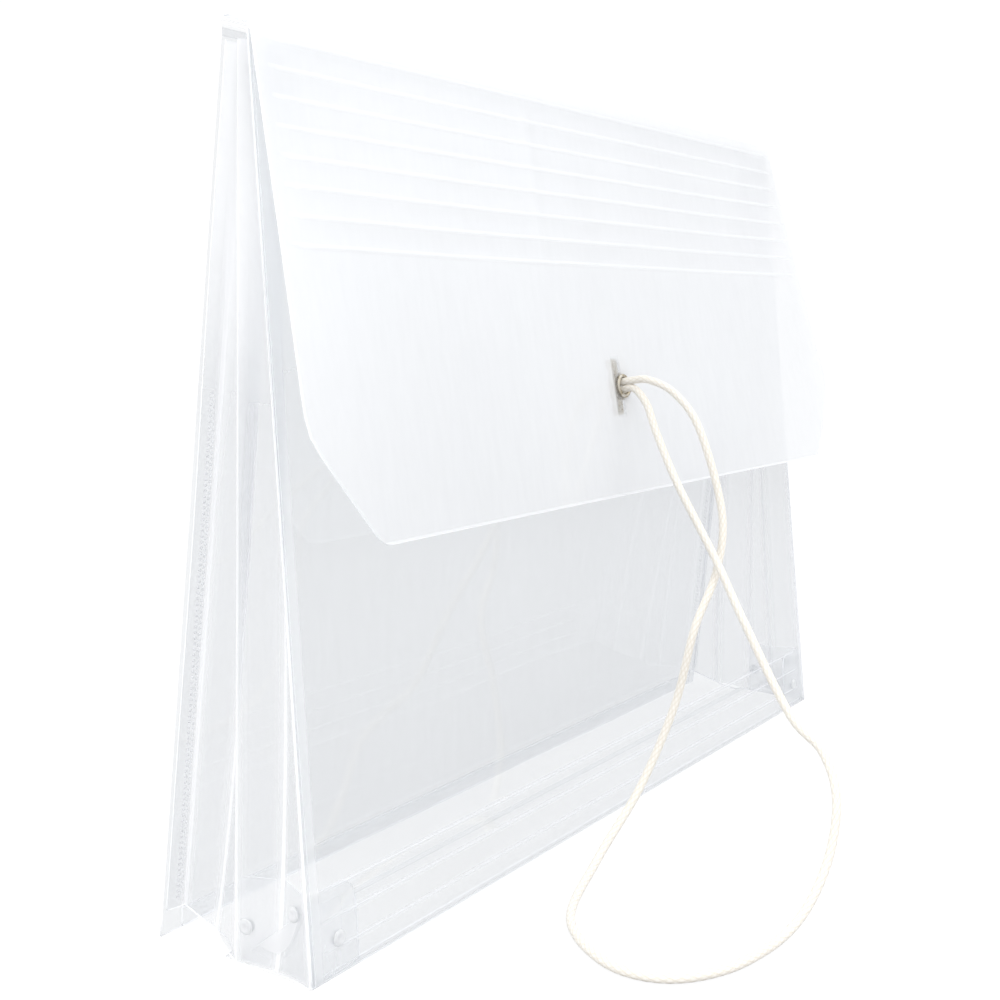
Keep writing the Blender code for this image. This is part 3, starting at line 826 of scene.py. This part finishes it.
def make_front_tab(side):
    """The corner tab inside the front panel, with a rounded free corner."""
    name = "left" if side < 0 else "right"
    near, far = HALF - 0.002, HALF - 0.020
    outline = [(near, TAB_BOTTOM), (near, TAB_HEIGHT)]
    for step in range(7):
        angle = math.pi / 2 * step / 6
        outline.append((far + 0.006 * (1 - math.sin(angle)), TAB_HEIGHT - 0.006 * (1 - math.cos(angle))))
    outline.append((far, TAB_BOTTOM))
    points = [Vector((side * x, front_y(z) + SHEET + GAP, z)) for x, z in outline]
    tab = outline_sheet(f"{name}_corner_tab", points, 0.1, TAB, SHEET)
    belongs(tab, "front", "clear_fold", f"{name}_front_tab")


def side_point(side, panel, share, z):
    """A point on side panel 0 to 3, share of the way from its rear fold to its front fold."""
    return fold_point(side, panel, z).lerp(fold_point(side, panel + 1, z), share)


def make_side_tab(side):
    """The folded tab inside the front half of the side, and the diagonal folds below it."""
    name = "left" if side < 0 else "right"
    rows, creases = [], []
    for index in range(13):
        z = TAB_BOTTOM + (TAB_HEIGHT - TAB_BOTTOM) * index / 12
        corners = [side_point(side, 2, 0.06, z), side_point(side, 2, 1.0, z), side_point(side, 3, 0.9, z)]
        line, folds = subdivide(*round_corners(corners, 0.0008), 4)
        rows.append([point + Vector((-side * 0.0008, 0.0, 0.0)) for point in line])
        creases.append([fold * 0.8 for fold in folds])
    tab = grid_sheet(f"{name}_folded_tab", rows, creases, TAB, SIDE_SHEET)
    belongs(tab, "front", "clear_fold", f"{name}_side_tab")
    ridge = side_point(side, 2, 0.04, TAB_BOTTOM)
    valley = side_point(side, 2, 0.98, TAB_BOTTOM)
    corner = side_point(side, 3, 0.97, TAB_BOTTOM)
    peak = side_point(side, 3, 0.95, TAB_HEIGHT - 0.003)
    inward = Vector((-side * 0.0016, 0.0, 0.0))
    for label, points in (("rear", (ridge, valley, peak)), ("front", (valley, corner, peak))):
        triangle = [point + inward for point in points]
        fold = outline_sheet(f"{name}_corner_fold_{label}", triangle, 0.15, TAB, SIDE_SHEET)
        belongs(fold, "front", "clear_fold")


# ---------------------------------------------------------------- rivets, eyelet and crimped bar


def lathe(name, profile, steps, place, material, groove=0.0):
    """Turns a closed profile of (radius, height) points round the Z axis of a frame."""
    bm = bmesh.new()
    layer = bm.verts.layers.float.new("crease")
    rings = []
    for step in range(steps):
        angle = 2 * math.pi * step / steps
        ring = []
        for radius, height in profile:
            spot = Vector((radius * math.cos(angle), radius * math.sin(angle), height))
            vert = bm.verts.new(place @ spot)
            vert[layer] = groove
            ring.append(vert)
        rings.append(ring)
    for ring, after in zip(rings, rings[1:] + rings[:1]):
        for index in range(len(profile)):
            other = (index + 1) % len(profile)
            face = bm.faces.new((ring[index], ring[other], after[other], after[index]))
            face.smooth = True
    bmesh.ops.remove_doubles(bm, verts=bm.verts[:], dist=1e-7)
    bmesh.ops.recalc_face_normals(bm, faces=bm.faces[:])
    return new_object(name, mesh_from(name, bm), [material])


def rivet_profile():
    """A snap rivet: domed head with a small dimple outside, and a flat head inside."""
    head, shank, back = 0.0022, 0.0010, 0.0011
    dome = [(0.0, -0.00062), (0.0005, -0.00064), (0.0009, -0.00080), (0.0014, -0.00082)]
    dome += [(0.0019, -0.00068), (head, -0.00040), (head, -0.00028), (shank, -0.00028)]
    inner = [(shank, back), (0.0018, back), (0.0019, back + 0.0002), (0.0015, back + 0.0005)]
    return dome + inner + [(0.0, back + 0.0006)]


def make_rivets():
    """The six clear rivets, each where its CAD node is, pointing from outside to inside."""
    for side in (-1, 1):
        name = "left" if side < 0 else "right"
        for kind in ("front_rivet", "side_rivet_lower", "side_rivet_upper"):
            node = f"{name}_{kind}"
            low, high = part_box(node)
            middle = (Vector(low) + Vector(high)) / 2
            if kind == "front_rivet":
                inward = Vector((0.0, 1.0, -0.084))
            else:
                inward = Vector((-side, 0.18 if kind == "side_rivet_lower" else -0.18, 0.0))
            turn = Vector((0.0, 0.0, 1.0)).rotation_difference(inward.normalized())
            place = Matrix.LocRotScale(middle - inward.normalized() * 0.0005, turn, None)
            rivet = lathe(f"{name}_snap_{kind}", rivet_profile(), 24, place, RIVET, 0.3)
            belongs(rivet, "front", "clear_rivet", node)


def arc(middle, radius, start, end, steps):
    """Points (radius, height) on an arc, angles in degrees."""
    points = []
    for step in range(steps + 1):
        angle = math.radians(start + (end - start) * step / steps)
        points.append((middle[0] + radius * math.cos(angle), middle[1] + radius * math.sin(angle)))
    return points


def make_eyelet():
    """Rolled eyelet: a round front lip, a straight barrel and a curled back, over a dished washer."""
    front = arc((0.00365, -0.00025), 0.00065, 20, -200, 14)
    barrel = [(0.0030, 0.0004), (0.0030, 0.0016)]
    curl = arc((0.00365, 0.0016), 0.00045, 160, -30, 8)
    outside = [(0.0034, 0.0012), (0.0033, 0.0004), (0.0034, -0.0001)]
    profile = front + barrel + curl + outside
    eyelet = lathe("rolled_eyelet", profile, 64, EYELET_FRAME, METAL)
    belongs(eyelet, "flap", "nickel", "eyelet")
    ring = [(0.0035, 0.0012), (0.0037, 0.00128), (0.0046, 0.00122), (0.0050, 0.0009)]
    ring += [(0.0050, 0.00075), (0.0046, 0.00085), (0.0035, 0.00075)]
    washer = lathe("dished_washer", ring, 64, EYELET_FRAME, METAL)
    belongs(washer, "flap", "nickel", "eyelet_washer")


def make_crimp():
    """The folded metal bar, squeezed above and below the cord's ends, open along its back."""
    width, depth, length = CRIMP_SIZE
    radius, around, rows = 0.0009, 6, 44
    bm = bmesh.new()
    bm.verts.layers.float.new("crease")
    rings = []
    for index in range(rows + 1):
        along = (index / rows - 0.5) * length
        near_end = smoothstep(length / 2, length / 2 - 0.0007, abs(along))
        pinch = math.exp(-(((abs(along) - length / 4) / 0.0016) ** 2))
        half_width = width / 2 * (0.86 + 0.14 * near_end) + 0.00010 * pinch
        half_depth = depth / 2 * (0.80 + 0.20 * near_end) - 0.00035 * pinch
        shift = -0.00035 * pinch
        ring = []
        for corner, (sx, sy) in enumerate(((1, 1), (-1, 1), (-1, -1), (1, -1))):
            for step in range(around + 1):
                angle = math.pi / 2 * (corner + step / around)
                x = sx * (half_width - radius) + radius * math.cos(angle)
                y = sy * (half_depth - radius) + radius * math.sin(angle)
                ring.append((x, y + shift))
            if corner == 0:
                groove = [(0.0004, 0.0), (0.00012, -0.0004), (-0.00012, -0.0004), (-0.0004, 0.0)]
                ring += [(x, half_depth + dip + shift) for x, dip in groove]
        centre = Vector((0.0, CRIMP_BACK + depth / 2, -EYELET_DROP + along))
        rings.append([bm.verts.new(FLAP_FRAME @ (centre + Vector((x, y, 0.0)))) for x, y in ring])
    for low, high in zip(rings, rings[1:]):
        for index in range(len(low)):
            after = (index + 1) % len(low)
            face = bm.faces.new((low[index], low[after], high[after], high[index]))
            face.smooth = True
    bm.faces.new(list(reversed(rings[0])))
    bm.faces.new(rings[-1])
    bmesh.ops.recalc_face_normals(bm, faces=bm.faces[:])
    bar = new_object("crimped_bar", mesh_from("crimped_bar", bm), [METAL])
    bar.data.set_sharp_from_angle(angle=math.radians(50))
    belongs(bar, "flap", "nickel", "crimp_bar")


# ---------------------------------------------------------------- flap


def flap_half_width(down):
    """Half the flap's width at a distance below its fold: straight, then cut off to the corner."""
    start = FLAP_LENGTH - CHAMFER_HEIGHT
    straight = HALF - CHAMFER_WIDTH * max(0.0, down - start) / CHAMFER_HEIGHT
    rounding = 0.0011 * math.exp(-(((down - start) / 0.004) ** 2))
    tip = max(0.0, down - (FLAP_LENGTH - 0.004)) / 0.004
    return straight - rounding - 0.0032 * (1 - math.sqrt(max(0.0, 1 - tip * tip)))


def flap_flare(x, down):
    """How far the flap stands out beyond its flat plane: most at the lower right corner."""
    share = x / HALF
    lift = 0.0047 * share + 0.0053 * share * share
    return lift * (down / EYELET_DROP) ** 1.3


def flap_point(x, down, lift):
    """A point on the flap, lifted outwards from its flat plane."""
    return FLAP_FRAME @ Vector((x, -lift, -down))


def flap_columns():
    """Columns as shares of the half width: close together round the eyelet."""
    marks = set(spaced(-1.0, 1.0, 0.028))
    marks = {mark for mark in marks if abs(mark) > 0.045} | {-FLAP_RIM, FLAP_RIM}
    return sorted(marks | set(spaced(-0.045, 0.045, 0.005)))


def flap_rows():
    """Distances down the flap: close together at the score lines and round the eyelet."""
    marks = scored_rows(0.0014, FLAP_LENGTH, FLAP_SCORES, 0.0045)
    marks = [mark for mark in marks if abs(mark - EYELET_DROP) > 0.012]
    marks += spaced(EYELET_DROP - 0.012, EYELET_DROP + 0.012, 0.0008)
    marks += [FLAP_LENGTH - 0.003, FLAP_LENGTH - 0.002, FLAP_LENGTH - 0.001, FLAP_LENGTH - 0.0004]
    return sorted(set(marks))


def make_flap():
    """The strip over the mouth and the hanging flap, one sheet round the fold between them."""
    columns = flap_columns()
    rows, creases = [], []
    corner = Vector((0.0, STRIP_FRONT, HEIGHT))
    fold = [Vector((0.0, 0.0006, HEIGHT)), corner, flap_point(0.0, 0.0030, 0.0)]
    line, on_fold = round_corners(fold, 0.0014, 7)
    for point, amount in zip(line[:-1], on_fold[:-1]):
        rows.append([Vector((column * HALF, point.y, point.z)) for column in columns])
        creases.append([amount * 0.7] * len(columns))
    for down in flap_rows():
        if down < 0.0016:
            continue
        row, amounts = [], []
        for column in columns:
            x = column * flap_half_width(down)
            depth = score_depth(down, x, FLAP_SCORES)
            buckle = math.exp(-(((x + 0.042) / 0.0022) ** 2)) * smoothstep(0.0, 0.02, down)
            buckle *= 1 - smoothstep(0.045, 0.075, down)
            lift = flap_flare(x, down) + 0.00013 * depth + 0.0004 * buckle
            lift += wave(x, down, 0.0006, 12) * smoothstep(0.0, 0.05, down) * min(1.0, abs(x) / 0.02)
            row.append(flap_point(x, down, lift))
            rim = 1.0 if abs(column) > FLAP_RIM or down > FLAP_LENGTH - 0.0005 else 0.0
            # Over the crimped bar the flap's painted reflection is taken away, so the bar shows through.
            off_spot = max(abs(x - SPOT_X) / SPOT_HALF_WIDTH, abs(down - EYELET_DROP) / SPOT_HALF_HEIGHT)
            clearer = SPOT_CLEARNESS * (1 - smoothstep(0.8, 1.15, off_spot))
            amounts.append(max(depth, rim, 0.15 * buckle) - clearer)
        rows.append(row)
        creases.append(amounts)
    sheet = grid_sheet("flap_sheet", rows, creases, FLAP, SHEET)
    open_eyelet_hole(sheet)
    belongs(sheet, "flap", "clear_flap", "flap_panel", "top_strip")


def open_eyelet_hole(sheet):
    """Takes out the flap's faces inside the eyelet; the eyelet's lip and washer cover the edge."""
    middle = EYELET_FRAME.translation
    bm = bmesh.new()
    bm.from_mesh(sheet.data)
    inside = [face for face in bm.faces if (face.calc_center_median() - middle).length < 0.0034]
    bmesh.ops.delete(bm, geom=inside, context="FACES")
    bm.to_mesh(sheet.data)
    bm.free()


def make_top_fold():
    """The living hinge: the sheet's soft fold from the back panel over to the strip."""
    profile = [
        Vector((0.0, back_y(0.2490) + 0.0002, 0.2490)),
        Vector((0.0, 0.0021, 0.2529)),
        Vector((0.0, 0.0019, 0.2541)),
        Vector((0.0, -0.0012, 0.25425)),
    ]
    line, folds = subdivide(*round_corners(profile, 0.0009), 2)
    rows, creases = [], []
    for x in spaced(-HALF, HALF, 0.01):
        rows.append([Vector((x, point.y, point.z)) for point in line])
        creases.append([fold * 0.7 for fold in folds])
    fold = grid_sheet("top_fold", rows, creases, SIDE, SIDE_SHEET)
    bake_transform(fold)


make_camera()
make_cord()
make_world()
make_floor()
make_lights()
make_back()
make_bottom()
make_front()
for hand in (-1, 1):
    make_side(hand)
    make_front_tab(hand)
    make_side_tab(hand)
make_rivets()
make_eyelet()
make_crimp()
make_flap()
make_top_fold()

bpy.context.scene.view_settings.view_transform = "Standard"
bpy.context.scene.cycles.transparent_max_bounces = 32
